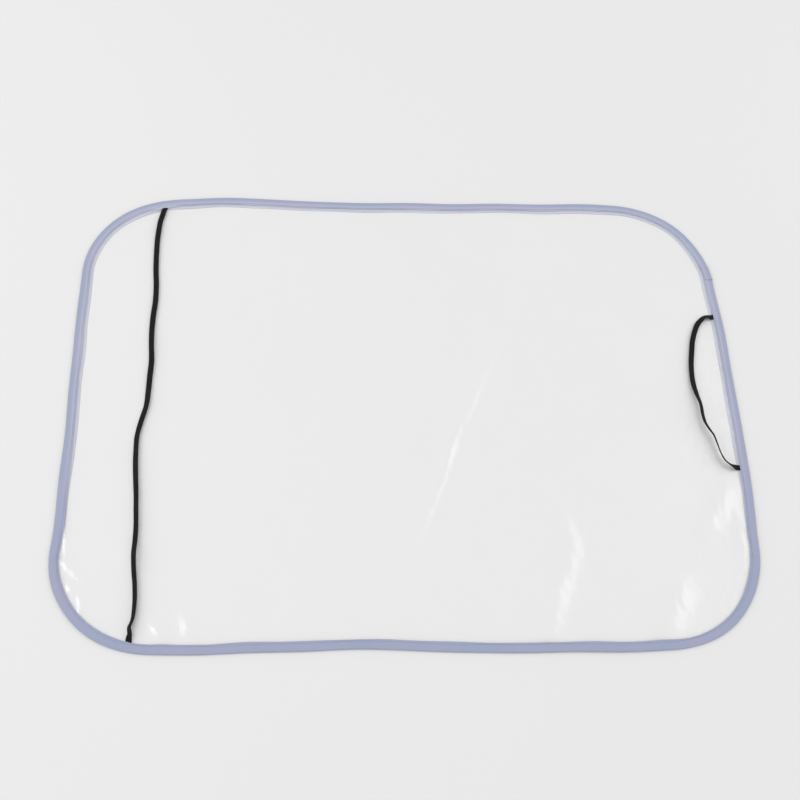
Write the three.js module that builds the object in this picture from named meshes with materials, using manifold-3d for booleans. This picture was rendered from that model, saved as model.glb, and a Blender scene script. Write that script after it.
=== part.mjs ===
// Clear chair-back cover: a rounded sheet of clear vinyl film, bound all round with a folded woven
// tape, with a long elastic strap across one end and an elastic hanging loop at the other.
// It lies flat with the elastics on top. Millimetres, +Z up. +X runs along the cover towards the
// hanging loop, +Y across it, and the origin is under its centre, on the surface it lies on.
import * as THREE from "three";
import { mergeVertices } from "three/addons/utils/BufferGeometryUtils.js";
import Module from "manifold-3d";

const wasm = await Module();
wasm.setup();

// The cover
const coverLength = 600;
const coverWidth = 450;
const cornerRadius = 90;
const filmThickness = 0.3;

// The binding tape, folded over the film's edge and lapped where its two ends meet
const tapeWidth = 9.5;
const tapeThickness = 0.7; // one leaf, which is two plies
const lapLength = 12;
const lapThickness = 0.4;
const lapRoot = 3; // how far back from the lap the covering end is one with the tape
const lapFromCorner = 2; // from where the corner's curve starts to the covering end

// The lockstitch that holds the tape, the film and the ends of the elastics
const seamInset = 2; // from the tape's inner edge
const threadThickness = 0.3;

// The flat braided elastics
const elasticWidth = 5;
const elasticThickness = 1;
const pinchedThickness = 0.5; // inside the tape, where the seam presses the elastic flat
const tuckLength = 7; // how far each end goes into the tape
const strapFromEnd = 70; // from the cover's end to the strap's line

// Clearances
const layerGap = 0.1; // between layers that lie on each other
const threadGap = 0.05; // under the needle thread and over the bobbin thread
const buttGap = 0.3; // between pieces that meet end to end

const arcSegments = 20; // along each rounded corner
const strapSteps = 76;
const loopSteps = 64;

// The strap lies almost straight. Each point is [sideways from the strap's line, along the line
// from its middle]. Its two ends are worked out from the tape's inner edge.
const strapEndOffset = { far: 0.5, near: 1.8 };
const strapPoints = [
  [0, 200], [-3, 174], [-2, 147], [0, 120], [-0.5, 94], [-1, 68], [1.3, 43], [1, 20], [0, 2],
  [-3, -15], [-6, -36], [-5, -55], [-3, -75], [-1, -100], [0.5, -125], [1, -145], [2.5, -162],
  [4, -180], [3, -196],
];

// The loop's free length. Each point is [inwards from the tape's inner edge, along the cover's end,
// up from where the elastic lies on the film].
const loopPoints = [
  [0.3, 95.5, 0], [4.5, 95, 0], [10.5, 91.5, 0.2], [15.5, 85, 0.5], [19.5, 77, 0.8],
  [22.5, 67, 1], [25, 55, 1.2], [26.5, 43, 1.5], [27.5, 31, 1.8], [27, 19, 2], [25.5, 9, 2],
  [23.5, -3, 2], [22, -14, 2], [19.5, -23, 2], [16, -33, 1.8], [13.5, -42, 1.5],
  [10, -52, 1], [6.5, -58, 0.5], [3, -60.8, 0.1], [0.3, -61.2, 0],
];

// Heights, from the surface up
const filmBottom = tapeThickness + layerGap;
const filmTop = filmBottom + filmThickness;
const leafBottom = filmTop + layerGap; // the upper leaf's underside
const tapeTop = leafBottom + tapeThickness;
const elasticMiddle = filmTop + layerGap + elasticThickness / 2;
const pocketTop = filmTop + layerGap / 2 + pinchedThickness + layerGap / 2;

// Places
const halfLength = coverLength / 2;
const halfWidth = coverWidth / 2;
const seamLine = tapeWidth - seamInset; // from the cover's outline
const strapX = -halfLength + strapFromEnd;
const lipX = halfLength - tapeWidth; // the tape's inner edge at the loop's end of the cover

const materials = {
  film: new THREE.MeshStandardMaterial({
    color: 0xf4f6f8, roughness: 0.08, metalness: 0, transparent: true, opacity: 0.25,
  }),
  tape: new THREE.MeshStandardMaterial({ color: 0xa7abcb, roughness: 0.8, metalness: 0 }),
  thread: new THREE.MeshStandardMaterial({ color: 0xb2b6d4, roughness: 0.65, metalness: 0 }),
  elastic: new THREE.MeshStandardMaterial({ color: 0x1b1b1c, roughness: 0.85, metalness: 0 }),
};

function solidOf(geometry) {
  const bare = geometry.clone();
  bare.deleteAttribute("normal");
  bare.deleteAttribute("uv");
  const merged = mergeVertices(bare, 1e-4);
  return new wasm.Manifold(new wasm.Mesh({
    numProp: 3,
    vertProperties: merged.attributes.position.array,
    triVerts: new Uint32Array(merged.index.array),
  }));
}

function geometryOf(solid) {
  const { vertProperties, triVerts } = solid.getMesh();
  const geometry = new THREE.BufferGeometry();
  geometry.setAttribute("position", new THREE.BufferAttribute(vertProperties, 3));
  geometry.setIndex(new THREE.BufferAttribute(triVerts, 1));
  geometry.computeVertexNormals();
  return geometry;
}

// The cover's rounded outline, moved inwards by inset.
function outline(inset, Kind = THREE.Shape) {
  const x = halfLength - cornerRadius;
  const y = halfWidth - cornerRadius;
  const radius = cornerRadius - inset;
  const path = new Kind();
  path.moveTo(x + radius, -y);
  path.absarc(x, y, radius, 0, Math.PI / 2);
  path.absarc(-x, y, radius, Math.PI / 2, Math.PI);
  path.absarc(-x, -y, radius, Math.PI, 1.5 * Math.PI);
  path.absarc(x, -y, radius, 1.5 * Math.PI, 2 * Math.PI);
  return path;
}

function extruded(shape, bottom, top) {
  const depth = top - bottom;
  const options = { depth, bevelEnabled: false, curveSegments: arcSegments };
  return new THREE.ExtrudeGeometry(shape, options).translate(0, 0, bottom);
}

function plate(inset, bottom, top) {
  return extruded(outline(inset), bottom, top);
}

// A band that follows the outline, from outerInset to innerInset inwards of it.
function band(outerInset, innerInset, bottom, top) {
  const shape = outline(outerInset);
  shape.holes.push(outline(innerInset, THREE.Path));
  return extruded(shape, bottom, top);
}

// A wedge that takes in the tape on the corner where its ends lap, between two distances along it.
function wedge(from, to, bottom, top) {
  const x = halfLength - cornerRadius;
  const y = halfWidth - cornerRadius;
  const reach = 1.2 * cornerRadius;
  const shape = new THREE.Shape([
    new THREE.Vector2(x, y),
    ...[from, to].map((along) => new THREE.Vector2(
      x + reach * Math.cos(along / cornerRadius),
      y + reach * Math.sin(along / cornerRadius),
    )),
  ]);
  return extruded(shape, bottom, top);
}

function box(sizeX, sizeY, bottom, top, x, y) {
  return new THREE.BoxGeometry(sizeX, sizeY, top - bottom).translate(x, y, (bottom + top) / 2);
}

// How far from the middle, across the cover, the outline moved inwards by inset is at x.
function edgeY(x, inset) {
  const past = Math.abs(x) - (halfLength - cornerRadius);
  const radius = cornerRadius - inset;
  const y = halfWidth - cornerRadius;
  return past <= 0 ? y + radius : y + Math.sqrt(radius ** 2 - past ** 2);
}

// The elastics' flat section, with its corners taken off. Its first axis becomes the thickness.
function elasticSection() {
  const x = elasticThickness / 2;
  const y = elasticWidth / 2;
  const cut = elasticThickness / 4;
  return new THREE.Shape([
    new THREE.Vector2(x, y - cut), new THREE.Vector2(x - cut, y),
    new THREE.Vector2(cut - x, y), new THREE.Vector2(-x, y - cut),
    new THREE.Vector2(-x, cut - y), new THREE.Vector2(cut - x, -y),
    new THREE.Vector2(x - cut, -y), new THREE.Vector2(x, cut - y),
  ]);
}

function elasticAlong(points, steps) {
  const extrudePath = new THREE.CatmullRomCurve3(points);
  return new THREE.ExtrudeGeometry(elasticSection(), { steps, extrudePath });
}

// Where each end of an elastic goes into the tape: [x, y] at the tape's inner edge, and the
// direction in which it goes in.
function tucks() {
  const tuckOnEdge = (offset, side) => {
    const x = strapX + offset;
    const lowest = Math.min(
      edgeY(x - elasticWidth / 2, tapeWidth),
      edgeY(x + elasticWidth / 2, tapeWidth),
    );
    return { x, y: side * lowest, alongX: 0, alongY: side };
  };
  const [firstLoop, lastLoop] = [loopPoints[0], loopPoints[loopPoints.length - 1]];
  return {
    strap_end_far: tuckOnEdge(strapEndOffset.far, 1),
    strap_end_near: tuckOnEdge(strapEndOffset.near, -1),
    loop_end_upper: { x: lipX, y: firstLoop[1], alongX: 1, alongY: 0 },
    loop_end_lower: { x: lipX, y: lastLoop[1], alongX: 1, alongY: 0 },
  };
}

// A block on a tuck's place, wider on each side, longer at its inner end and starting further out.
function tuckBlock({ x, y, alongX, alongY }, wider, deeper, mouth, bottom, top) {
  const long = tuckLength + deeper + mouth;
  const wide = elasticWidth + 2 * wider;
  const sizeX = alongX ? long : wide;
  const sizeY = alongX ? wide : long;
  const middle = long / 2 - mouth;
  return box(sizeX, sizeY, bottom, top, x + alongX * middle, y + alongY * middle);
}

function clearPanel() {
  return plate(tapeThickness + buttGap, filmBottom, filmTop);
}

// The tape's finishing end, which covers its starting end and is one with the tape past the lap.
function lapSolid() {
  const from = lapFromCorner;
  const to = from + lapLength;
  const bottom = tapeTop + layerGap;
  const top = bottom + lapThickness;
  const relief = threadThickness / 2 + buttGap;
  const cover = solidOf(wedge(from, to + lapRoot, bottom, top));
  const root = solidOf(wedge(to + buttGap, to + lapRoot, leafBottom, top));
  const groove = solidOf(band(seamLine - relief, seamLine + relief, tapeTop, top + 1));
  const strip = solidOf(band(0, tapeWidth, leafBottom, top));
  return strip.intersect(cover.add(root)).subtract(groove);
}

function edgeBinding() {
  const relief = threadThickness / 2 + buttGap;
  const groove = threadThickness + 3 * threadGap;
  const lapEnd = lapFromCorner + lapLength;
  const cuts = [
    plate(tapeThickness, tapeThickness, leafBottom),
    band(seamLine - relief, seamLine + relief, -1, groove),
    wedge(lapEnd, lapEnd + buttGap, -1, tapeTop + 1),
    ...Object.values(tucks()).map(
      (place) => tuckBlock(place, buttGap, buttGap, 1, filmTop, pocketTop),
    ),
  ];
  let tape = solidOf(band(0, tapeWidth, 0, tapeTop));
  for (const cut of cuts) tape = tape.subtract(solidOf(cut));
  return geometryOf(tape.add(lapSolid()));
}

function needleThread() {
  const half = threadThickness / 2;
  const bottom = tapeTop + threadGap;
  return band(seamLine - half, seamLine + half, bottom, bottom + threadThickness);
}

function bobbinThread() {
  const half = threadThickness / 2;
  return band(seamLine - half, seamLine + half, threadGap, threadGap + threadThickness);
}

function longStrap(places) {
  const far = places.strap_end_far;
  const near = places.strap_end_near;
  const points = [
    new THREE.Vector3(far.x, far.y - buttGap, elasticMiddle),
    ...strapPoints.map(([aside, along]) => new THREE.Vector3(strapX + aside, along, elasticMiddle)),
    new THREE.Vector3(near.x, near.y + buttGap, elasticMiddle),
  ];
  return elasticAlong(points, strapSteps);
}

function hangingLoop() {
  const points = loopPoints.map(
    ([inwards, along, up]) => new THREE.Vector3(lipX - inwards, along, elasticMiddle + up),
  );
  return elasticAlong(points, loopSteps);
}

function elasticEnd(place) {
  const bottom = filmTop + layerGap / 2;
  return tuckBlock(place, 0, 0, 0, bottom, bottom + pinchedThickness);
}

function addMesh(group, name, geometry, material) {
  const mesh = new THREE.Mesh(geometry, material);
  mesh.name = name;
  group.add(mesh);
}

const cover = new THREE.Group();
const places = tucks();
addMesh(cover, "clear_panel", clearPanel(), materials.film);
addMesh(cover, "edge_binding", edgeBinding(), materials.tape);
addMesh(cover, "needle_thread", needleThread(), materials.thread);
addMesh(cover, "bobbin_thread", bobbinThread(), materials.thread);
addMesh(cover, "long_strap", longStrap(places), materials.elastic);
addMesh(cover, "hanging_loop", hangingLoop(), materials.elastic);
for (const [name, place] of Object.entries(places)) {
  addMesh(cover, name, elasticEnd(place), materials.elastic);
}

export default cover;
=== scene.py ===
import math
import bpy
import numpy as np
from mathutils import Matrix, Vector


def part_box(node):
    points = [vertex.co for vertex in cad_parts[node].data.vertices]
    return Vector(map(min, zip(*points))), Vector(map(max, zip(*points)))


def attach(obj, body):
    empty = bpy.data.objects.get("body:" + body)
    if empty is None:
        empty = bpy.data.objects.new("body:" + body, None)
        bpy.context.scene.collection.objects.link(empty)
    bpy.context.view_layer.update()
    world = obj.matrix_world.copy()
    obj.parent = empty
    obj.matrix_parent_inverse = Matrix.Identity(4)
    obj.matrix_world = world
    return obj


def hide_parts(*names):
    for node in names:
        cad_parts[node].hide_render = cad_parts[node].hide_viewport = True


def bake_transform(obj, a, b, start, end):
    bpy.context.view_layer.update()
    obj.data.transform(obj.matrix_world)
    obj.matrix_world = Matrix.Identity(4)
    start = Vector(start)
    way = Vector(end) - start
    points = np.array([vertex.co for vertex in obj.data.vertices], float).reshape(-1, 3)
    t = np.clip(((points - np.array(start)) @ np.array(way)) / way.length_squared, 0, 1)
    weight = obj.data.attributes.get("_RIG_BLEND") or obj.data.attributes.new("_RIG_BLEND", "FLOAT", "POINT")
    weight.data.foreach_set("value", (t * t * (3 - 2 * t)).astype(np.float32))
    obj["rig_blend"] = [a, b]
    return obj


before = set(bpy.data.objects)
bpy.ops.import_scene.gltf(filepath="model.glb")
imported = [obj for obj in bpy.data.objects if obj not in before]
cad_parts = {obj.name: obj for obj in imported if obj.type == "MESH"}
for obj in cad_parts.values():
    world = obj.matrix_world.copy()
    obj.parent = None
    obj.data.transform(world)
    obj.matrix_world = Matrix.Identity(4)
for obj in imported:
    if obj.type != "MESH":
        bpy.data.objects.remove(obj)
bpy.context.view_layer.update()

mm = 0.001

# The camera.

camera = {
    "place": (-0.0747, -0.4982, 0.9464),
    "lookAt": (-0.0062, 0.0051, 0.0),
    "rollDegrees": 7.23,
    "lensMm": 54,
}


def addCamera(c):
    data = bpy.data.cameras.new("viewCamera")
    data.lens = c["lensMm"]
    data.sensor_width = 36
    data.clip_end = 50
    made = bpy.data.objects.new("viewCamera", data)
    bpy.context.collection.objects.link(made)
    made.location = c["place"]
    aim = Vector(c["lookAt"]) - made.location
    made.rotation_mode = "QUATERNION"
    made.rotation_quaternion = aim.to_track_quat("-Z", "Y")
    made.rotation_mode = "XYZ"
    made.rotation_euler.rotate_axis("Z", math.radians(c["rollDegrees"]))
    bpy.context.scene.camera = made


addCamera(camera)
print("camera placed")

# Shapes shared by the pieces.

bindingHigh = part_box("edge_binding")[1]
filmLow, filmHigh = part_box("clear_panel")

cover = {
    "cornerRadius": 90 * mm,
    "tapeWidth": 8.4 * mm,
    "stepAlong": 1.0 * mm,  # between the tape's rings
    # where the edge strays from the clean rounded outline: [x, y, outwards], all in mm
    "strays": [
        (300, 0, 1.4), (300, 85, 1.4), (300, 122, -1.4), (293, 169, -2.9), (264, 207, -1.6),
        (231, 223, -1.4), (182, 225, 0.4), (134, 225, -0.9), (97, 225, -0.2), (49, 225, -1.8),
        (0, 225, -1.1), (-36, 225, -2.0), (-85, 225, -2.0), (-122, 225, 0.2), (-170, 225, 0.8),
        (-219, 225, -2.3), (-253, 214, -1.0), (-288, 180, -0.2), (-300, 134, -0.8),
        (-300, 97, 0.4), (-300, 49, -1.2), (-300, 0, -0.1), (-300, -36, -2.4), (-300, -85, -0.7),
        (-300, -122, -2.0), (-293, -169, 0.6), (-264, -207, 1.1), (-231, -223, 0.4),
        (-182, -225, 1.2), (-97, -225, -0.4), (-49, -225, -2.0), (0, -225, -1.1), (36, -225, 1.0),
        (85, -225, 0.9), (122, -225, 0.4), (170, -225, 1.2), (219, -225, -0.5), (253, -214, -0.1),
        (288, -180, -1.2), (300, -134, -2.0), (300, -97, 0.9), (300, -49, 0.9),
    ],
    "strayReach": 27 * mm,
    "edgeWave": 0.25 * mm,  # height of the small waves all along the edge
    "edgeWaveReach": (14 * mm, 17 * mm),  # how slowly they run along x and y
}
halfLength = bindingHigh.x
halfWidth = bindingHigh.y
filmMiddle = (filmLow.z + filmHigh.z) / 2  # where the film would lie if it were flat
filmHalf = (filmHigh.z - filmLow.z) / 2


def smoothStep(start, end, value):
    t = np.clip((value - start) / (end - start), 0, 1)
    return t * t * (3 - 2 * t)


# How far the edge strays outwards near a point.
def edgeStray(x, y):
    total = np.zeros_like(x)
    for strayX, strayY, stray in cover["strays"]:
        away = (x - strayX * mm) ** 2 + (y - strayY * mm) ** 2
        total += stray * mm * np.exp(-away / (2 * cover["strayReach"] ** 2))
    reachX, reachY = cover["edgeWaveReach"]
    total += cover["edgeWave"] * np.sin(x / reachX + 1.3) * np.cos(y / reachY)
    return total


# Points right round the cover's edge, starting where the tape's ends lap and going on to the left
# along the top, with the outward direction and the distance along at each.
def outlineWalk(start, length):
    radius = cover["cornerRadius"]
    straightX = 2 * (halfLength - radius)
    straightY = 2 * (halfWidth - radius)
    turn = radius * math.pi / 2
    lengths = [straightY / 2, turn, straightX, turn, straightY, turn, straightX, turn, straightY / 2]
    around = sum(lengths)
    walked = np.arange(start, start + length, cover["stepAlong"])
    place = np.mod(walked, around)
    x, y = np.zeros_like(place), np.zeros_like(place)
    begin, heading = 0.0, math.pi / 2
    here = np.array([halfLength, 0.0])
    for index, part in enumerate(lengths):
        inside = (place >= begin) & (place <= begin + part)
        along = place[inside] - begin
        if index % 2:
            middle = here + radius * np.array([-math.sin(heading), math.cos(heading)])
            angle = heading - math.pi / 2 + along / radius
            x[inside] = middle[0] + radius * np.cos(angle)
            y[inside] = middle[1] + radius * np.sin(angle)
            last = heading - math.pi / 2 + part / radius
            here = middle + radius * np.array([math.cos(last), math.sin(last)])
            heading += math.pi / 2
        else:
            forward = np.array([math.cos(heading), math.sin(heading)])
            x[inside] = here[0] + along * forward[0]
            y[inside] = here[1] + along * forward[1]
            here = here + part * forward
        begin += part
    stray = edgeStray(x, y)
    outX, outY = outwards(x, y)
    x, y = x + outX * stray, y + outY * stray
    stepX, stepY = np.gradient(x), np.gradient(y)
    size = np.hypot(stepX, stepY)
    return x, y, stepY / size, -stepX / size, walked, around


# The outward direction of the clean outline where it is nearest to a point.
def outwards(x, y):
    radius = cover["cornerRadius"]
    pastX = np.maximum(np.abs(x) - (halfLength - radius), 0)
    pastY = np.maximum(np.abs(y) - (halfWidth - radius), 0)
    size = np.maximum(np.hypot(pastX, pastY), 1e-9)
    return np.sign(x) * pastX / size, np.sign(y) * pastY / size


# How the film lies.

lie = {
    "wander": 0.22 * mm,  # height of the broad ripples
    "ripples": [(210, 20), (150, 75), (118, 128), (84, 160), (63, 50)],  # mm long, degrees
    "sag": 0.35 * mm,  # how far the middle drops onto what it lies on
    "sagFull": 45 * mm,  # how far in from the edge it has dropped all the way
    # soft folds: [x, y from], [x, y to], half width and height, all in mm
    "folds": [
        ((106, 140), (76, 38), 3.5, 1.1),
        ((73, 42), (32, -56), 3.7, 1.5),
        ((38, -42), (3, -136), 3.9, 1.8),
        ((129, -106), (136, -138), 6.5, 1.3),
        ((135, -134), (117, -180), 9.5, 2.2),
        ((120, -170), (107, -218), 8.0, 2.05),
        ((228, -168), (203, -214), 10.0, 2.25),
        ((279, -83), (250, -120), 9.0, 2.3),
        ((284, -106), (281, -147), 4.5, 1.1),
        ((-210, -196), (-202, -220), 5.5, 1.35),
        ((-187, -190), (-177, -218), 7.0, 1.75),
        ((-242, -138), (-220, -150), 8.0, 1.5),
        ((-288, -116), (-284.5, -148), 2.0, 0.8),
        ((-290, -144), (-269, -166), 2.0, 0.85),
        ((-280, -168), (-276, -174), 2.4, 0.9),
        ((-270.5, -176), (-268, -192), 2.0, 0.8),
    ],
    "foldEnds": 14 * mm,  # how far a fold takes to rise and to die away
    # how far a fold strays to its sides, as a share of its half width and at most in mm
    "foldBend": (0.3, 2.5),
    "foldBendReach": 19 * mm,  # how slowly it does so
    "crinkle": 0.16,  # how unevenly a fold's height runs, as a share of it
    # how slowly that runs: finely along the fold, across it, and coarsely along it
    "crinkleReach": (2.3 * mm, 5 * mm, 7.1 * mm),
    # crackled patches: middle x, y, reach, height and size of the crackle, all in mm
    "crackles": [
        (-279, -165, 16, 0.2, 7.0), (287, -126, 15, 0.8, 8.0), (272, -100, 14, 0.4, 8.0),
    ],
    "crackleSlants": ((2.1, 1), (-0.8, 1.7)),  # the two ways its creases run, as shares of x and y
    "lapPlace": (291.5 * mm, 142 * mm),  # where the tape's ends lap and hold the film up
    "lapLift": 0.3 * mm,
    "lapReach": 20 * mm,
}


def filmLift(x, y):
    ripple = np.zeros_like(x)
    longest = lie["ripples"][0][0]
    for index, (wave, angle) in enumerate(lie["ripples"]):
        turn = math.radians(angle)
        phase = (x * math.cos(turn) + y * math.sin(turn)) / (wave * mm) * 2 * math.pi
        ripple += np.sin(phase + 2.1 * index) * (wave / longest)
    inside = smoothStep(0, lie["sagFull"], edgeDistance(x, y))
    lift = lie["wander"] * (1 + ripple) * (0.5 + 0.5 * inside) - lie["sag"] * inside
    bendShare, bendMost = lie["foldBend"]
    fine, acrossIt, coarse = lie["crinkleReach"]
    for (fromX, fromY), (toX, toY), width, height in lie["folds"]:
        start = np.array([fromX, fromY]) * mm
        run = np.array([toX, toY]) * mm - start
        length = np.hypot(*run)
        run = run / length
        along = (x - start[0]) * run[0] + (y - start[1]) * run[1]
        aside = (x - start[0]) * run[1] - (y - start[1]) * run[0]
        bend = min(bendShare * width, bendMost) * mm
        aside = aside + bend * np.sin(along / lie["foldBendReach"])
        fade = min(lie["foldEnds"], length / 2)
        ends = smoothStep(-fade, fade, along) * smoothStep(-fade, fade, length - along)
        uneven = np.sin(along / fine + 3 * np.sin(aside / acrossIt))
        uneven = uneven * np.sin(along / coarse + fromX)
        tall = height * mm * (1 + lie["crinkle"] * uneven)
        lift += tall * ends * np.exp(-(aside / (width * mm)) ** 2)
    (oneX, oneY), (otherX, otherY) = lie["crackleSlants"]
    for middleX, middleY, reach, height, size in lie["crackles"]:
        away = np.hypot(x - middleX * mm, y - middleY * mm) / (reach * mm)
        u, v = x / (size * mm), y / (size * mm)
        crease = np.abs(np.sin(u * oneX + v * oneY)) * np.abs(np.cos(u * otherX + v * otherY))
        lift += height * mm * crease * np.exp(-away ** 2)
    away = np.hypot(x - lie["lapPlace"][0], y - lie["lapPlace"][1])
    lift += lie["lapLift"] * np.exp(-(away / lie["lapReach"]) ** 2)
    return lift


# How far inside the clean outline a point is.
def edgeDistance(x, y):
    radius = cover["cornerRadius"]
    pastX = np.abs(x) - (halfLength - radius)
    pastY = np.abs(y) - (halfWidth - radius)
    outside = np.hypot(np.maximum(pastX, 0), np.maximum(pastY, 0))
    return radius - outside - np.minimum(np.maximum(pastX, pastY), 0)


# Mesh and node helpers.

def boxMiddle(node):
    low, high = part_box(node)
    return (low + high) / 2


def addMesh(name, points, faces, uvs=None):
    mesh = bpy.data.meshes.new(name)
    mesh.from_pydata([tuple(p) for p in points], [], faces)
    if uvs is not None:
        layer = mesh.uv_layers.new(name="patternMm")
        corners = np.zeros(len(mesh.loops), int)
        mesh.loops.foreach_get("vertex_index", corners)
        layer.data.foreach_set("uv", np.asarray(uvs, float)[corners].ravel())
    mesh.polygons.foreach_set("use_smooth", [True] * len(mesh.polygons))
    mesh.update()
    made = bpy.data.objects.new(name, mesh)
    bpy.context.collection.objects.link(made)
    return made


# A skin over rings of section points, with its two ends closed. The pattern's mm run along it and
# round its section.
def sweptMesh(name, rings, alongMm, aroundMm):
    count, corners = rings.shape[:2]
    faces = []
    for ring in range(count - 1):
        first, second = ring * corners, (ring + 1) * corners
        for corner in range(corners):
            after = (corner + 1) % corners
            faces.append((first + corner, second + corner, second + after, first + after))
    faces.append(tuple(range(corners)))
    faces.append(tuple((count - 1) * corners + c for c in reversed(range(corners))))
    uvs = np.stack(np.broadcast_arrays(alongMm[:, None], aroundMm[None, :]), axis=-1)
    return addMesh(name, rings.reshape(-1, 3), faces, uvs.reshape(-1, 2))


def linear(hexColour):
    values = [int(hexColour[i:i + 2], 16) / 255 for i in (1, 3, 5)]
    return [v / 12.92 if v <= 0.04045 else ((v + 0.055) / 1.055) ** 2.4 for v in values] + [1.0]


def newMaterial(name):
    material = bpy.data.materials.new(name)
    material.use_nodes = True
    material.node_tree.nodes.clear()
    return material, material.node_tree


# Adds a node, sets its options, and sets or links its inputs by name or number.
def addNode(tree, kind, inputs=None, **options):
    made = tree.nodes.new(kind)
    for option, value in options.items():
        setattr(made, option, value)
    for key, value in (inputs or {}).items():
        if isinstance(value, bpy.types.NodeSocket):
            tree.links.new(value, made.inputs[key])
        else:
            made.inputs[key].default_value = value
    return made


def finishMaterial(tree, surface):
    addNode(tree, "ShaderNodeOutputMaterial", {"Surface": surface})


def bandScale(periodMm):
    return math.pi / 10 / periodMm  # a wave texture's scale for one band in so many mm


def grainScale(grainMm):
    return 1000 / grainMm  # a noise texture's scale, in object metres, for grains of so many mm


def setRamp(ramp, first, last, firstAt=0.0, lastAt=1.0):
    for stop, colour, place in zip(ramp.color_ramp.elements, (first, last), (firstAt, lastAt)):
        stop.color = linear(colour)
        stop.position = place


# The materials.

# Plasticised PVC film, calendered: water-clear and glossy, with a fine orange peel that breaks up
# what it reflects.
def clearVinyl():
    material, tree = newMaterial("clearVinylCalendered")
    place = addNode(tree, "ShaderNodeTexCoord").outputs["Object"]
    peel = addNode(tree, "ShaderNodeTexNoise", {
        "Vector": place, "Scale": grainScale(6.667), "Detail": 3.0,
    })
    bump = addNode(tree, "ShaderNodeBump", {
        "Height": peel.outputs["Fac"], "Strength": 0.5, "Distance": 0.0009,
    })
    haze = addNode(tree, "ShaderNodeTexNoise", {
        "Vector": place, "Scale": grainScale(111.1), "Detail": 4.0,
    })
    rough = addNode(tree, "ShaderNodeMapRange", {
        "Value": haze.outputs["Fac"], "To Min": 0.14, "To Max": 0.24,
    })
    film = addNode(tree, "ShaderNodeBsdfPrincipled", {
        "Base Color": linear("#ffffff"), "IOR": 1.53, "Transmission Weight": 1.0,
        "Roughness": rough.outputs["Result"], "Normal": bump.outputs["Normal"],
    })
    rays = addNode(tree, "ShaderNodeLightPath").outputs
    passing = addNode(tree, "ShaderNodeMath", {
        0: rays["Is Shadow Ray"], 1: rays["Is Diffuse Ray"],
    }, operation="MAXIMUM")
    through = addNode(tree, "ShaderNodeBsdfTransparent", {"Color": linear("#ffffff")})
    mix = addNode(tree, "ShaderNodeMixShader", {
        0: passing.outputs[0], 1: film.outputs[0], 2: through.outputs[0],
    })
    finishMaterial(tree, mix.outputs[0])
    return material


# Polyester-cotton bias tape, plain woven and pressed: matt, with a fine weave, a dye that drifts a
# little between blue and violet, and a paler selvedge that is partly painted light: the under leaf
# beneath the upper leaf's lip and that lip itself are lightened against the shade that falls there.
def wovenTape(threadMm=0.8):  # coarser than such a tape's threads, which are too fine to show
    material, tree = newMaterial("polycottonBiasTape")
    pattern = addNode(tree, "ShaderNodeUVMap", uv_map="patternMm").outputs["UV"]
    place = addNode(tree, "ShaderNodeTexCoord").outputs["Object"]
    bands = [
        addNode(tree, "ShaderNodeTexWave", {
            "Vector": pattern, "Scale": bandScale(threadMm), "Distortion": 0.6, "Detail": 1.0,
            "Detail Scale": 1.5,
        }, bands_direction=direction).outputs["Fac"]
        for direction in ("X", "Y")
    ]
    weave = addNode(tree, "ShaderNodeMath", {0: bands[0], 1: bands[1]}, operation="MULTIPLY")
    drift = addNode(tree, "ShaderNodeTexNoise", {
        "Vector": place, "Scale": grainScale(71.43), "Detail": 3.0,
    })
    dye = addNode(tree, "ShaderNodeValToRGB", {"Fac": drift.outputs["Fac"]})
    setRamp(dye, "#95a0b8", "#a0a0bb", 0.32, 0.68)
    # paler selvedge mask, partly painted light that lightens the shade under and along the upper leaf's lip
    selvedgeAndPaintedLight = addNode(tree, "ShaderNodeAttribute", attribute_name="selvedgeAndPaintedLight").outputs["Fac"]
    dyeAndPaintedLight = addNode(tree, "ShaderNodeMix", {
        "Factor": selvedgeAndPaintedLight, 6: dye.outputs["Color"], 7: linear("#cacbd8"),
    }, data_type="RGBA")
    shade = addNode(tree, "ShaderNodeMapRange", {
        "Value": weave.outputs[0], "To Min": 0.88, "To Max": 1.05,
    })
    colour = addNode(tree, "ShaderNodeVectorMath", {
        0: dyeAndPaintedLight.outputs[2], "Scale": shade.outputs["Result"],
    }, operation="SCALE")
    fuzz = addNode(tree, "ShaderNodeTexNoise", {
        "Vector": place, "Scale": grainScale(1.111), "Detail": 3.0,
    })
    height = addNode(tree, "ShaderNodeMath", {
        0: fuzz.outputs["Fac"], 1: 0.5, 2: weave.outputs[0],
    }, operation="MULTIPLY_ADD")
    bump = addNode(tree, "ShaderNodeBump", {
        "Height": height.outputs[0], "Strength": 0.5, "Distance": 0.00012,
    })
    rough = addNode(tree, "ShaderNodeMapRange", {
        "Value": weave.outputs[0], "To Min": 0.88, "To Max": 0.74,
    })
    cloth = addNode(tree, "ShaderNodeBsdfPrincipled", {
        "Base Color": colour.outputs[0], "IOR": 1.5, "Roughness": rough.outputs["Result"],
        "Normal": bump.outputs["Normal"], "Sheen Weight": 0.2, "Sheen Roughness": 0.5,
    })
    finishMaterial(tree, cloth.outputs[0])
    return material


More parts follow.
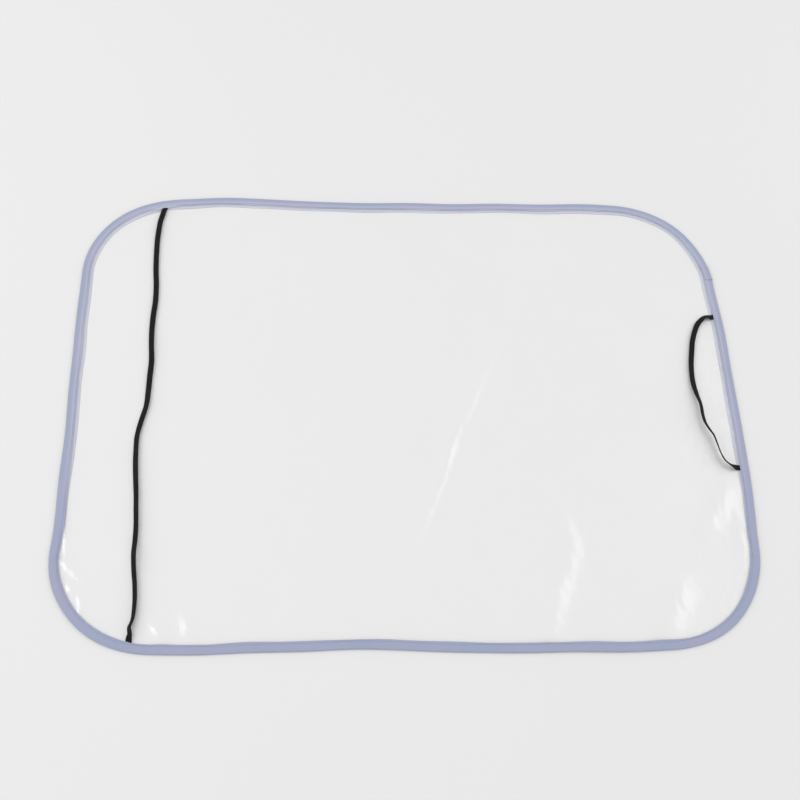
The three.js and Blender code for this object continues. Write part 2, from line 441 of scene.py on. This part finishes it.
# Spun polyester sewing thread, dyed to the tape: twisted plies with a slight shine.
def sewingThread(plyMm=0.5):
    material, tree = newMaterial("spunPolyesterThread")
    pattern = addNode(tree, "ShaderNodeUVMap", uv_map="patternMm").outputs["UV"]
    twist = addNode(tree, "ShaderNodeTexWave", {
        "Vector": pattern, "Scale": bandScale(plyMm),
    }, bands_direction="DIAGONAL").outputs["Fac"]
    tint = addNode(tree, "ShaderNodeValToRGB", {"Fac": twist})
    setRamp(tint, "#868cae", "#a7abcb")
    bump = addNode(tree, "ShaderNodeBump", {"Height": twist, "Strength": 0.4, "Distance": 0.00005})
    thread = addNode(tree, "ShaderNodeBsdfPrincipled", {
        "Base Color": tint.outputs["Color"], "Roughness": 0.55, "IOR": 1.5,
        "Normal": bump.outputs["Normal"], "Sheen Weight": 0.2,
    })
    finishMaterial(tree, thread.outputs[0])
    return material


# Braided elastic: polyester yarns over rubber cores, dyed black, which gives ribs along it crossed
# by a herringbone of yarns with a dull shine, partly painted as lighter bands on the yarns.
def braidedElastic(ribMm=0.8, yarnMm=0.9):  # yarns drawn coarse enough to show
    material, tree = newMaterial("braidedPolyesterElastic")
    pattern = addNode(tree, "ShaderNodeUVMap", uv_map="patternMm").outputs["UV"]
    place = addNode(tree, "ShaderNodeTexCoord").outputs["Object"]
    split = addNode(tree, "ShaderNodeSeparateXYZ", {"Vector": pattern})
    zigzag = addNode(tree, "ShaderNodeMath", {
        0: split.outputs["Y"], 1: ribMm,
    }, operation="PINGPONG")
    slant = addNode(tree, "ShaderNodeMath", {
        0: split.outputs["X"], 1: zigzag.outputs[0],
    }, operation="ADD")
    joined = addNode(tree, "ShaderNodeCombineXYZ", {"X": slant.outputs[0], "Y": split.outputs["Y"]})
    yarn = addNode(tree, "ShaderNodeTexWave", {
        "Vector": joined.outputs[0], "Scale": bandScale(yarnMm),
    }, bands_direction="X").outputs["Fac"]
    dust = addNode(tree, "ShaderNodeTexNoise", {
        "Vector": place, "Scale": grainScale(25), "Detail": 4.0,
    })
    yarnsDustAndSheen = addNode(tree, "ShaderNodeMath", {
        0: yarn, 1: dust.outputs["Fac"],
    }, operation="MULTIPLY")
    # the yarns' lighter bands are their herringbone pattern and partly painted sheen, with a faint mottle
    # over them
    tint = addNode(tree, "ShaderNodeValToRGB", {"Fac": yarnsDustAndSheen.outputs[0]})
    setRamp(tint, "#070707", "#161616", 0.0, 0.7)
    bump = addNode(tree, "ShaderNodeBump", {"Height": yarn, "Strength": 0.6, "Distance": 0.00015})
    braid = addNode(tree, "ShaderNodeBsdfPrincipled", {
        "Base Color": tint.outputs["Color"], "IOR": 1.5, "Roughness": 0.85,
        "Normal": bump.outputs["Normal"], "Specular IOR Level": 0.25, "Sheen Weight": 0.02,
        "Sheen Roughness": 0.45,
    })
    finishMaterial(tree, braid.outputs[0])
    return material


# Matt painted board: an even pale grey.
def paleBoard():
    material, tree = newMaterial("mattPaintedBoard")
    place = addNode(tree, "ShaderNodeTexCoord").outputs["Object"]
    cloud = addNode(tree, "ShaderNodeTexNoise", {
        "Vector": place, "Scale": grainScale(833.3), "Detail": 2.0,
    })
    tint = addNode(tree, "ShaderNodeValToRGB", {"Fac": cloud.outputs["Fac"]})
    setRamp(tint, "#d9d9d9", "#dbdbdb")
    board = addNode(tree, "ShaderNodeBsdfPrincipled", {
        "Base Color": tint.outputs["Color"], "Roughness": 0.9, "Specular IOR Level": 0.2,
    })
    finishMaterial(tree, board.outputs[0])
    return material


vinylMaterial = clearVinyl()
tapeMaterial = wovenTape()
threadMaterial = sewingThread()
elasticMaterial = braidedElastic()
print("materials made")

# The clear film.

film = {
    "inset": 3 * mm,  # from the outline to the film's own edge, inside the fold
    "spacing": 2.35 * mm,
    "edgeFiner": 0.2,  # how much closer the grid is near the edge
    "strayFrom": 0.86,  # the ring, as a share of the outermost, from where the edge's straying shows
}


def buildFilm(f):
    sizeX, sizeY = halfLength - f["inset"], halfWidth - f["inset"]
    countX, countY = round(2 * sizeX / f["spacing"]), round(2 * sizeY / f["spacing"])
    u, v = np.meshgrid(
        np.linspace(-1, 1, countX + 1), np.linspace(-1, 1, countY + 1), indexing="ij",
    )
    u, v = (t * (1 + f["edgeFiner"] * (1 - t ** 2)) for t in (u, v))
    # each square ring of the grid becomes a smaller copy of the rounded outline
    ring = np.maximum(np.abs(u), np.abs(v))
    radius = (cover["cornerRadius"] - f["inset"]) * ring ** 3
    pastX = np.abs(u) * sizeX - (ring * sizeX - radius)
    pastY = np.abs(v) * sizeY - (ring * sizeY - radius)
    inCorner = (pastX > 0) & (pastY > 0)
    size = np.maximum(np.hypot(pastX, pastY), 1e-9)
    x = np.where(inCorner, ring * sizeX - radius + pastX / size * radius, np.abs(u) * sizeX)
    y = np.where(inCorner, ring * sizeY - radius + pastY / size * radius, np.abs(v) * sizeY)
    x, y = x * np.sign(u), y * np.sign(v)
    outX, outY = outwards(x, y)
    near = edgeStray(x, y) * smoothStep(f["strayFrom"], 1, ring)
    x, y = x + outX * near, y + outY * near
    z = filmMiddle + filmLift(x, y)
    points = np.stack([x, y, z], axis=-1).reshape(-1, 3)
    rows = countY + 1
    faces = [
        (i * rows + j, (i + 1) * rows + j, (i + 1) * rows + j + 1, i * rows + j + 1)
        for i in range(countX) for j in range(countY)
    ]
    made = addMesh("clear_film", points, faces)
    thicken = made.modifiers.new("filmThickness", "SOLIDIFY")
    thicken.thickness = 2 * filmHalf
    thicken.offset = 0
    made.data.materials.append(vinylMaterial)
    return made


filmObject = buildFilm(film)
print("film laid")

# The folded tape.

tape = {
    "leaf": 0.62 * mm,
    "height": 1.9 * mm,
    "fullWidth": 9.5 * mm,  # the width at which its waver and pucker are full
    # along the top and upper sides the upper leaf reaches less far in and the under leaf further
    "upperLess": 0.8 * mm,
    "underMore": 2.3 * mm,
    "unevenFrom": (-150 * mm, -10 * mm),  # where along the width that begins and is full
    "moreFrom": 4 * mm,  # how far across the tape those changes start
    "overStrap": 1.6 * mm,  # how much further in the upper leaf reaches over the strap's far end
    "overStrapReach": 14 * mm,
    "bevel": 0.1 * mm,  # at the leaves' edges
    "lipDrop": 0.6 * mm,  # how far the upper leaf thins towards its edge
    "lipReach": 2 * mm,  # how far in from its edge the thinning starts
    "lipEdge": 0.12 * mm,  # the height of the edge itself
    "underRise": 0.12 * mm,  # of the under leaf towards the film, before it thins out
    "underRiseFull": 2.5 * mm,  # how far in from its edge that is full
    "underThins": 1.4 * mm,  # how far in from its edge it starts to thin
    "underLip": [(0.7 * mm, 0.372 * mm), (0.05 * mm, 0.12 * mm)],  # in from its edge, height
    # how far the tape's inner edge strays, as [by how much, how slowly, where it starts]
    "inner": [(0.25 * mm, 23 * mm, 0), (0.2 * mm, 9.1 * mm, 1)],
    "innerFrom": 5 * mm,  # how far across the tape that shows
    "tuckRise": 0.4 * mm,  # over each sewn end of an elastic
    "tuckReach": 4.5 * mm,
    "stitchInset": 6.7 * mm,
    "stitchPitch": 3.2 * mm,
    "furrow": 1.1 * mm,  # half width of the furrow that the seam presses in
    "furrowDepth": 0.12 * mm,
    "holeDepth": 0.1 * mm,  # how much deeper it is at each needle hole
    "groove": 0.7 * mm,  # half width of the under thread's groove
    "grooveDepth": 0.25 * mm,
    "crown": 0.1 * mm,  # how full the fold stands
    "crownFrom": 1 * mm,
    "crownWidth": 5.5 * mm,
    "pucker": 0.16 * mm,  # of the tape's slack on the corners
    "puckerPitch": 9 * mm,
    "puckerBefore": 10 * mm,  # how far before a corner it begins
    "waver": 0.1 * mm,  # of the top, all round
    "waverReach": (11 * mm, 37 * mm),
    "lap": 13 * mm,
    "lapRise": 0.3 * mm,
    "lapRamp": 8 * mm,
    "lapCurl": 0.45 * mm,  # how far its cut end turns up
    "lapCurlReach": 1.4 * mm,
    "clearance": 0.02 * mm,  # over the floor
    # how pale the selvedge is, partly painted light against the shade under and along the upper leaf's lip:
    # the under leaf, more at its edge, and the upper leaf's edge
    "underPaleAndPaintedLight": (0.35, 0.65),
    "underPaleAndPaintedLightReach": 1 * mm,
    "overPaleAndPaintedLight": 0.55,
    "overPaleAndPaintedLightReach": 5 * mm,
}


# The folded tape's section, as [inwards from the outer edge, up from the underside], going out
# along the underside, round the fold, in along the top and back through the inside of the fold.
# With it come the masks of its top and of its under leaf.
def tapeSection(t):
    wide, top, leaf = cover["tapeWidth"], t["height"], t["leaf"]
    half = top / 2
    bevel = t["bevel"]
    underneath = [(w, 0.0) for w in np.linspace(wide - bevel, half, 9)]
    fold = [
        (half - half * math.sin(a), half - half * math.cos(a))
        for a in np.linspace(0, math.pi, 9)[1:-1]
    ]
    thinned = top - t["lipDrop"]
    above = [
        (w, top - t["lipDrop"] * smoothStep(wide - t["lipReach"], wide, w))
        for w in np.linspace(half, wide - 2 * bevel, 13)
    ]
    upperLip = [(wide, thinned - t["lipEdge"] / 2), (wide - bevel, thinned - t["lipEdge"])]
    inside = half - leaf
    cavity = [
        (half - inside * math.sin(a), half - inside * math.cos(a))
        for a in np.linspace(math.pi, 0, 5)
    ]
    underFrom = t["moreFrom"]
    underInside = [
        (w, leaf + t["underRise"] * smoothStep(underFrom, wide - t["underRiseFull"], w))
        for w in np.linspace(underFrom, wide - t["underThins"], 6)
    ]
    underLip = [(wide - back, height) for back, height in t["underLip"]]
    section = np.array(underneath + fold + above + upperLip + cavity + underInside + underLip)
    underTop = leaf + 1.01 * t["underRise"]  # just over the under leaf's highest point
    return section, section[:, 1] > half, section[:, 1] < underTop


# How far the tape's top rises over the sewn ends.
def tuckBulge(x, y):
    total = np.zeros_like(x)
    for node in ("strap_end_far", "strap_end_near", "loop_end_upper", "loop_end_lower"):
        middle = boxMiddle(node)
        away = np.hypot(x - middle.x, y - middle.y)
        total += tape["tuckRise"] * np.exp(-(away / tape["tuckReach"]) ** 4)
    return total


lapStart = 137 * mm  # along the outline from the middle of the right side
outlineX, outlineY, outX, outY, walked, around = outlineWalk(
    lapStart, 2 * math.pi * cover["cornerRadius"] + 4 * (halfLength + halfWidth)
    - 8 * cover["cornerRadius"] + tape["lap"],
)
# The end that covers the lap is wrapped round the end that it hides.
pastLap = walked - lapStart
lapRise = tape["lapRise"] * (1 - smoothStep(tape["lap"], tape["lap"] + tape["lapRamp"], pastLap))
lapRise += tape["lapCurl"] * np.exp(-(pastLap / tape["lapCurlReach"]) ** 2)


# How far the tape's top stands off its plain section, at a place across it and along it.
def tapeSurface(across, along, x, y):
    t = tape
    fromStitch = np.abs(across - t["stitchInset"]) / t["furrow"]
    hole = 0.5 + 0.5 * np.cos(2 * math.pi * (along - lapStart) / t["stitchPitch"])
    dent = (t["furrowDepth"] + t["holeDepth"] * hole) * np.exp(-fromStitch ** 2)
    overCrown = np.clip((across - t["crownFrom"]) / t["crownWidth"], 0, 1)
    crown = t["crown"] * np.sin(overCrown * math.pi)
    beyond = np.minimum(np.abs(x) - halfLength, np.abs(y) - halfWidth) + cover["cornerRadius"]
    corner = smoothStep(-t["puckerBefore"], t["puckerBefore"], beyond)
    share = across / t["fullWidth"]
    pucker = t["pucker"] * corner * np.sin(2 * math.pi * along / t["puckerPitch"]) * share
    fine, coarse = t["waverReach"]
    waver = t["waver"] * np.sin(along / fine + 1.2 * np.sin(along / coarse)) * share
    return crown + pucker + waver - dent


def buildTape(t):
    section, isTop, isUnder = tapeSection(t)
    across, up = section[:, 0], section[:, 1]
    wide = cover["tapeWidth"]
    rise = lapRise[:, None]
    spread = sum(size * np.sin(walked / reach + turn) for size, reach, turn in t["inner"])
    uneven = smoothStep(*t["unevenFrom"], outlineY)
    farEnd = boxMiddle("strap_end_far")
    fromStrap = np.hypot(outlineX - farEnd.x, outlineY - farEnd.y)
    overStrap = t["overStrap"] * np.exp(-(fromStrap / t["overStrapReach"]) ** 4)
    upperMore = overStrap - t["upperLess"] * uneven
    more = np.where(isUnder[None, :], (t["underMore"] * uneven)[:, None], upperMore[:, None])
    inwards = across[None, :] + spread[:, None] * (across > t["innerFrom"])[None, :]
    inwards += more * smoothStep(t["moreFrom"], wide, across)[None, :]
    # the wrapped-over end stands a little outside the other
    inwards -= 0.5 * rise * (1 - smoothStep(0, 1.2 * mm, across))[None, :]
    x = outlineX[:, None] - outX[:, None] * inwards
    y = outlineY[:, None] - outY[:, None] * inwards
    along = np.broadcast_to(walked[:, None], x.shape)
    z = up[None, :] + filmLift(x, y)
    z += np.where(isTop[None, :], rise + tuckBulge(x, y), -rise)
    onTop = isTop[None, :] & (inwards > 0.5 * mm)  # the fold's own edge stays round
    z += np.where(onTop, tapeSurface(inwards, along, x, y), 0)
    groove = t["grooveDepth"] * np.exp(-((inwards - t["stitchInset"]) / t["groove"]) ** 2)
    z += np.where(up[None, :] < 0.1 * mm, groove, 0)  # on the underside only
    z = np.maximum(z, t["clearance"])
    rings = np.stack([x, y, z], axis=-1)
    steps = np.hypot(*np.diff(section, axis=0).T)
    aroundMm = np.concatenate([[0], np.cumsum(steps)]) / mm
    made = sweptMesh("edge_tape", rings, walked / mm, aroundMm)
    # the selvedge's paleness, partly painted light: the under leaf beneath the lip and the upper leaf's lip
    # are lightened against the shade there
    fromLip = inwards - wide + t["upperLess"] * uneven[:, None]
    least, extra = t["underPaleAndPaintedLight"]
    under = least + extra * smoothStep(0, t["underMore"] + t["underPaleAndPaintedLightReach"], fromLip)
    over = t["overPaleAndPaintedLight"] * smoothStep(-t["overPaleAndPaintedLightReach"], 0, fromLip) * uneven[:, None]
    paleAndPaintedLight = np.where(isUnder[None, :], under, over)
    made.data.attributes.new("selvedgeAndPaintedLight", "FLOAT", "POINT").data.foreach_set("value", paleAndPaintedLight.ravel())
    made.data.materials.append(tapeMaterial)
    return made


tapeObject = buildTape(tape)
print("tape folded on")

# The seam's stitches.

thread = {
    "radius": 0.17 * mm,
    "sides": 6,
    "sideMm": 0.2,  # of its twist's pattern, round it from one side to the next
    "span": 0.86,  # how much of the pitch one stitch shows over
    "proud": 0.16,  # how far its middle stands out of the tape, in mm
    "dips": [0.32, 0.06, 0, 0, 0.06, 0.32],  # how far it goes down from there along it, in mm
    "underHeight": 0.27 * mm,  # of the under thread's middle, in its groove
    "clearance": 0.03 * mm,  # over the floor
}


# One run of lockstitch: a short length of thread between each needle hole and the next.
def buildStitches(name, underneath):
    pitch, inset = tape["stitchPitch"], tape["stitchInset"]
    count = int(around / pitch)
    points, faces, uvs = [], [], []
    dips = thread["dips"]
    stations = np.linspace(-0.5, 0.5, len(dips)) * thread["span"]
    for stitch in range(count):
        middle = lapStart + (stitch + 0.5) * pitch
        for step, dip in zip(stations, dips):
            at = middle + step * pitch
            x, y, sideX, sideY = (np.interp(at, walked, a) for a in (outlineX, outlineY, outX, outY))
            px, py = x - sideX * inset, y - sideY * inset
            here = np.array([px]), np.array([py])
            lift = float(filmLift(*here)[0])
            rise = float(np.interp(at, walked, lapRise))
            if underneath:
                lowest = thread["radius"] + thread["clearance"]
                z = max(lift - rise + thread["underHeight"], lowest)
            else:
                top = tape["height"] + lift + rise + float(tuckBulge(*here)[0])
                top += float(tapeSurface(np.array([inset]), np.array([at]), *here)[0])
                z = top + (thread["proud"] - dip) * mm
            first = len(points)
            for side in range(thread["sides"]):
                angle = 2 * math.pi * side / thread["sides"]
                aside = thread["radius"] * math.cos(angle)
                points.append((
                    px + sideX * aside, py + sideY * aside, z + thread["radius"] * math.sin(angle),
                ))
                uvs.append((at / mm, side * thread["sideMm"]))
            if step > stations[0]:
                before = first - thread["sides"]
                for side in range(thread["sides"]):
                    after = (side + 1) % thread["sides"]
                    faces.append((before + side, before + after, first + after, first + side))
        faces.append(tuple(len(points) - thread["sides"] + s for s in range(thread["sides"])))
        start = len(points) - thread["sides"] * len(dips)
        faces.append(tuple(start + s for s in reversed(range(thread["sides"]))))
    made = addMesh(name, points, faces, uvs)
    made.data.materials.append(threadMaterial)
    return made


needleObject = buildStitches("needle_stitches", False)
bobbinObject = buildStitches("bobbin_stitches", True)
print("seam sewn")

# The elastics.

elastic = {
    "width": 5 * mm,
    "thickness": 1 * mm,
    "ribs": 6,
    "ribDepth": 0.07 * mm,
    "corner": 0.25 * mm,  # how far from its edges the flat faces end
    "edgeRound": 0.05 * mm,
    "stepAlong": 1.2 * mm,
    "clearance": 0.15 * mm,  # over the film
    "feel": 2.2 * mm,  # how far to each side of its middle the film's height is taken
    "sewn": 6 * mm,  # how much of each end is held in the tape
    "pastEnd": 2.5 * mm,  # how far past the middle of a sewn end it is cut
    "pressedUp": 0.22 * mm,  # of a sewn end's middle, over the film
    "pressedThin": 0.6,  # how much of its thickness is pressed out there
}

# The strap's route, [sideways from its line, along it], in metres.
strap = {
    "lineX": -0.230,
    "farShift": 1.8 * mm,  # of its far end, towards the middle of the cover
    "farPress": (-4.5 * mm, -1.5 * mm),  # from the far tape's edge: where pressing starts, is full
    "nearPress": (2 * mm, -1 * mm),  # and from the near tape's edge
    "still": 7 * mm,  # how much of each end stays put as it lifts
    "route": [
        (0.0015, 0.2088), (0.0003, 0.203), (-0.0009, 0.197), (-0.0016, 0.191), (-0.0025, 0.174),
        (-0.0023, 0.156), (-0.0015, 0.1395), (-0.0001, 0.123), (0.0004, 0.106),
        (-0.0004, 0.090), (-0.0006, 0.074), (0.0002, 0.058),
        (0.0014, 0.0427), (0.0011, 0.0273), (0.0008, 0.0121), (0.0001, -0.003), (-0.0031, -0.0177),
        (-0.0055, -0.0323), (-0.0055, -0.0467), (-0.0047, -0.061), (-0.0034, -0.075),
        (-0.002, -0.0888), (-0.001, -0.1025), (0.0001, -0.116), (0.0004, -0.1294),
        (0.0004, -0.1425), (0.0014, -0.1555), (0.0031, -0.1684), (0.0041, -0.1811),
        (0.0041, -0.1912), (0.0038, -0.1965), (0.0025, -0.2012), (0.0015, -0.204),
        (0.0019, -0.207), (0.0024, -0.2095),
    ],
    # how far it leans over, as [along its line in mm, degrees]
    "lean": [
        (213, 0), (180, -4), (140, -8), (90, -3), (74, -10), (58, -20), (42, -12), (27, -4),
        (12, -14), (-3, -24), (-18, -20), (-32, -28), (-47, -30), (-61, -25), (-75, -29),
        (-95, -35), (-116, -34), (-129, -30), (-142, -34), (-160, -38), (-181, -42), (-191, -46),
        (-198, -51), (-201, -53), (-205, -50), (-208, -46), (-211, -25), (-213, -5), (-217, 0),
    ],
    # how far it stands off the film, as [along its line in mm, mm]
    "standOff": [
        (213, 0), (195, 0.1), (60, 0.2), (0, 0.1), (-60, 0.2), (-105, 0.1), (-140, 0.7),
        (-165, 0.4), (-195, 0.3), (-214, 0),
    ],
}

# The loop's route, [inwards from the tape, along the end], in metres.
loop = {
    "press": (-1.5 * mm, 1 * mm),  # from the tape's edge: where pressing starts, is full
    "straight": 1 * mm,  # how far outside that edge its route runs straight
    "bend": 8 * mm,  # how far from that edge it bends as it swings
    "route": [
        (0.0003, 0.0945), (0.0035, 0.0950), (0.0075, 0.0940), (0.0111, 0.0908), (0.0135, 0.0883),
        (0.0159, 0.0843), (0.0178, 0.0801), (0.0195, 0.0759), (0.0223, 0.0671), (0.024, 0.0585),
        (0.0257, 0.0498), (0.027, 0.0412), (0.0277, 0.0327), (0.0279, 0.0242), (0.0272, 0.0155),
        (0.0258, 0.0068), (0.0249, 0.0025), (0.0245, -0.0018), (0.0244, -0.0100),
        (0.024, -0.0142), (0.0233, -0.0182), (0.0218, -0.0223), (0.0199, -0.0264),
        (0.0179, -0.0304), (0.0167, -0.0345), (0.0159, -0.0385), (0.0151, -0.0424),
        (0.0143, -0.0462), (0.0132, -0.0500), (0.011, -0.0550), (0.0086, -0.0576),
        (0.0061, -0.0595), (0.0032, -0.0607), (0.0003, -0.0612),
    ],
    # how far it leans over, as [share of its length, degrees]
    "lean": [
        (0, 0), (0.006, -2), (0.022, -28), (0.05, -34), (0.075, -20), (0.095, -6), (0.12, 4),
        (0.3, 4), (0.36, 14), (0.46, 12), (0.5, 16), (0.535, 23), (0.56, 31), (0.585, 38), (0.61, 41),
        (0.655, 42), (0.7, 43), (0.75, 48), (0.8, 57), (0.865, 63), (0.89, 62), (0.917, 57),
        (0.95, 54), (0.972, 46), (0.987, 18), (0.995, 0), (1, 0),
    ],
    # how far it stands off the film, as [share of its length, mm]
    "standOff": [
        (0, 0), (0.1, 0.3), (0.4, 0.6), (0.5, 1.2), (0.6, 2.1), (0.8, 2.9), (0.87, 2.5),
        (0.93, 1.8), (0.97, 1), (1, 0),
    ],
}


# A smooth path through points, as evenly spaced points.
def smoothPath(points, step, between=24):
    p = np.array(points, float)
    p = np.vstack([2 * p[0] - p[1], p, 2 * p[-1] - p[-2]])
    fine = []
    for i in range(1, len(p) - 2):
        t = np.linspace(0, 1, between, endpoint=False)[:, None]
        a, b, c, d = p[i - 1], p[i], p[i + 1], p[i + 2]
        fine.append(0.5 * (
            2 * b + (c - a) * t + (2 * a - 5 * b + 4 * c - d) * t ** 2
            + (3 * b - a - 3 * c + d) * t ** 3
        ))
    fine = np.vstack(fine + [p[-2][None, :]])
    along = np.concatenate([[0], np.cumsum(np.linalg.norm(np.diff(fine, axis=0), axis=1))])
    places = np.linspace(0, along[-1], max(2, round(along[-1] / step) + 1))
    return np.stack([np.interp(places, along, fine[:, k]) for k in range(3)], axis=-1), places


# The flat braid's section, ribbed on both faces: [across, up].
def elasticSection(e):
    half, thick = e["width"] / 2, e["thickness"] / 2
    corner, edge = e["corner"], half - e["edgeRound"]
    flat = np.linspace(-half + corner, half - corner, e["ribs"] * 4 + 1)
    turns = (flat - flat[0]) / (flat[-1] - flat[0]) * e["ribs"]
    rib = e["ribDepth"] * (0.5 - 0.5 * np.cos(2 * math.pi * turns))
    face = thick - e["ribDepth"] + rib
    top = list(zip(flat, face))
    side = [(edge, corner), (half, 0.0), (edge, -corner)]
    bottom = [(a, -u) for a, u in reversed(top)]
    other = [(-a, -u) for a, u in side]
    return np.array(top + side + bottom + other)


def buildElastic(name, centres, places, lean, thin):
    section = elasticSection(elastic)
    forward = np.gradient(centres, axis=0)
    forward /= np.linalg.norm(forward, axis=1)[:, None]
    level = np.cross(forward, [0, 0, 1.0])
    level /= np.linalg.norm(level, axis=1)[:, None]
    upright = np.cross(level, forward)
    angle = np.radians(lean)[:, None]
    across = level * np.cos(angle) + upright * np.sin(angle)
    up = upright * np.cos(angle) - level * np.sin(angle)
    rings = (
        centres[:, None, :]
        + across[:, None, :] * section[None, :, :1]
        + up[:, None, :] * (section[None, :, 1:] * thin[:, None, None])
    )
    steps = np.hypot(*np.diff(section, axis=0).T)
    aroundMm = np.concatenate([[0], np.cumsum(steps)]) / mm
    made = sweptMesh(name, rings, places / mm, aroundMm)
    made.data.materials.append(elasticMaterial)
    return made


# The film's top under a band, taken across its width so that no edge of it cuts in.
def filmTop(centres):
    x, y = centres[:, 0], centres[:, 1]
    feel = elastic["feel"]
    under = [
        filmLift(x + dx * feel, y + dy * feel)
        for dx, dy in ((0, 0), (1, 0), (-1, 0), (0, 1), (0, -1))
    ]
    return filmMiddle + filmHalf + np.maximum.reduce(under)


def layElastic(name, flat, standOff, lean, tucked):
    centres, places = smoothPath(flat, elastic["stepAlong"])
    leanHere, offHere = lean(centres, places), standOff(centres, places)
    thick = elastic["thickness"] / 2
    reach = np.abs(np.sin(np.radians(leanHere))) * elastic["width"] / 2
    rest = filmTop(centres) + elastic["clearance"] + np.maximum(thick, reach)
    inTape = tucked(centres)
    pressed = filmTop(centres) + elastic["pressedUp"]
    centres[:, 2] = pressed * inTape + (rest + offHere) * (1 - inTape)
    thin = 1 - elastic["pressedThin"] * inTape
    return buildElastic(name, centres, places, leanHere, thin), centres, places


def layStrap(s):
    far, near = boxMiddle("strap_end_far"), boxMiddle("strap_end_near")
    farLow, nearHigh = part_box("strap_end_far")[0].y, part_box("strap_end_near")[1].y
    farX = far.x + s["farShift"]
    route = [(farX, far.y + elastic["pastEnd"], 0), (farX, farLow, 0)]
    route += [(s["lineX"] + aside, along, 0) for aside, along in s["route"]]
    route += [(near.x, nearHigh, 0), (near.x, near.y - elastic["pastEnd"], 0)]

    def along(table):
        places, values = zip(*reversed(table))
        return lambda centres, distances: np.interp(centres[:, 1], np.array(places) * mm, values)

    lean = along(s["lean"])
    standOff = along([(place, value * mm) for place, value in s["standOff"]])

    def tucked(centres):
        farStart, farFull = s["farPress"]
        nearStart, nearFull = s["nearPress"]
        atFar = smoothStep(farLow + farStart, farLow + farFull, centres[:, 1])
        atNear = 1 - smoothStep(nearHigh + nearFull, nearHigh + nearStart, centres[:, 1])
        return np.maximum(atFar, atNear)

    return layElastic("elastic_strap", route, standOff, lean, tucked)


def layLoop(p):
    upper, lower = boxMiddle("loop_end_upper"), boxMiddle("loop_end_lower")
    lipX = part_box("loop_end_upper")[0].x
    straightX = lipX + p["straight"]
    route = [(upper.x + elastic["pastEnd"], upper.y, 0), (straightX, upper.y, 0)]
    route += [(lipX - inwards, along, 0) for inwards, along in p["route"]]
    route += [(straightX, lower.y, 0), (lower.x + elastic["pastEnd"], lower.y, 0)]

    def along(table):
        shares, values = zip(*table)
        return lambda centres, places: np.interp(
            (places - elastic["sewn"]) / (places[-1] - 2 * elastic["sewn"]), shares, values,
        )

    lean = along(p["lean"])
    standOff = along([(share, value * mm) for share, value in p["standOff"]])

    def tucked(centres):
        start, full = p["press"]
        return smoothStep(lipX + start, lipX + full, centres[:, 0])

    return layElastic("elastic_loop", route, standOff, lean, tucked)


strapObject, strapPath, strapPlaces = layStrap(strap)
loopObject, loopPath, loopPlaces = layLoop(loop)
print("elastics laid")

# Floor and light.

stage = {
    "floorSize": 6.0,
    "worldStrength": 0.95,
    "boxes": [
        # name, place, size, power, aim
        ("leftSoftbox", (-1.65, 0.1, 1.25), 1.55, 8.3, (0, 0, 0)),
        ("rightSoftbox", (1.7, 0.35, 1.3), 1.6, 8.3, (0.1, -0.05, 0)),
        ("glintLamp", (-1.05, 0.1, 1.3), 0.3, 1.3, (-0.25, -0.1, 0)),
    ],
}


def buildStage(s):
    half = s["floorSize"] / 2
    corners = [(-half, -half, 0), (half, -half, 0), (half, half, 0), (-half, half, 0)]
    floor = addMesh("floor", corners, [(0, 1, 2, 3)])
    floor.data.materials.append(paleBoard())
    for name, place, size, power, aim in s["boxes"]:
        data = bpy.data.lights.new(name, "AREA")
        data.shape = "SQUARE"
        data.size = size
        data.energy = power
        lamp = bpy.data.objects.new(name, data)
        bpy.context.collection.objects.link(lamp)
        lamp.location = place
        lamp.rotation_euler = (Vector(aim) - Vector(place)).to_track_quat("-Z", "Y").to_euler()
    world = bpy.data.worlds.new("studio")
    world.use_nodes = True
    background = world.node_tree.nodes["Background"]
    background.inputs["Color"].default_value = linear("#ffffff")
    background.inputs["Strength"].default_value = s["worldStrength"]
    bpy.context.scene.world = world
    bpy.context.scene.view_settings.view_transform = "Standard"
    return floor


floorObject = buildStage(stage)
print("floor and light ready")

# What stands for what, and what moves with what.

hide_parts("clear_panel")
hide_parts("edge_binding")
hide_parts("needle_thread")
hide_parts("bobbin_thread")
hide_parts("long_strap", "strap_end_far", "strap_end_near")
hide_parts("hanging_loop", "loop_end_upper", "loop_end_lower")
for piece in (filmObject, tapeObject, needleObject, bobbinObject):
    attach(piece, "cover")

# The loop bends beside the tape, so its sewn ends stay put as it swings.
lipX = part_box("loop_end_upper")[0].x
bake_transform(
    loopObject, "cover", "loop", start=(lipX, 0, filmHigh.z),
    end=(lipX - loop["bend"], 0, filmHigh.z),
)
# The strap's two sewn ends stay put as its middle lifts, so its weights rise from both ends.
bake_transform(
    strapObject, "cover", "strap", start=(strapPath[0, 0], strapPath[0, 1], filmHigh.z),
    end=(strapPath[0, 0], 0, filmHigh.z),
)
strapWeights = strapObject.data.attributes["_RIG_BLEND"]
fromEnd = np.minimum(strapPlaces, strapPlaces[-1] - strapPlaces) - strap["still"]
archShare = smoothStep(0, strapPlaces[-1] / 2 - strap["still"], fromEnd)
strapWeights.data.foreach_set("value", np.repeat(archShare, len(elasticSection(elastic))))
